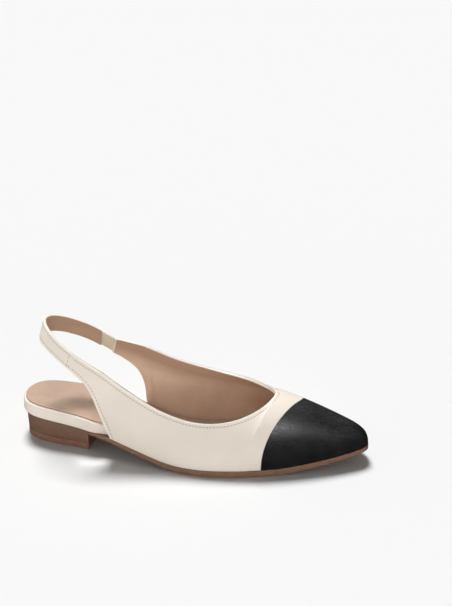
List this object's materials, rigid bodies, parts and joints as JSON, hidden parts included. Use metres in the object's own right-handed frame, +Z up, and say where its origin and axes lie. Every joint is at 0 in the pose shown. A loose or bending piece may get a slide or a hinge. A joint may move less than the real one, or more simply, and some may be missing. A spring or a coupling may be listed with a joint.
{
  "type": "slingback flat",
  "caption": "Low slingback shoe with an almond toe, contrasting toe cap, open heel with strap and elastic insert, leather wrapped footbed, thin sole and a low block heel.",
  "frame": {"origin": "centre of the flat underside of the heel's top lift, on the floor", "axes": "+X to the toe along the heel's centre line, +Y to the inner side of the foot, +Z up"},
  "size_m": [0.2544, 0.0839, 0.089],
  "materials": {
    "cream_leather": "smooth semi-gloss leather with light stitching",
    "black_leather": "smooth satin leather with a fine grain",
    "elastic": "ribbed matte elastic",
    "lining_leather": "matte lining leather with fine speckle",
    "sole_brown": "matte moulded sole with a leather look",
    "lift_rubber": "matte rubber"
  },
  "bodies": {
    "root": {"upper": "cream_leather", "toe_cap": "black_leather", "back_strap": "cream_leather", "elastic": "elastic", "footbed": "cream_leather", "insole": "lining_leather", "outsole": "sole_brown", "heel_block": "sole_brown", "top_lift": "lift_rubber"}
  },
  "joints": []
}
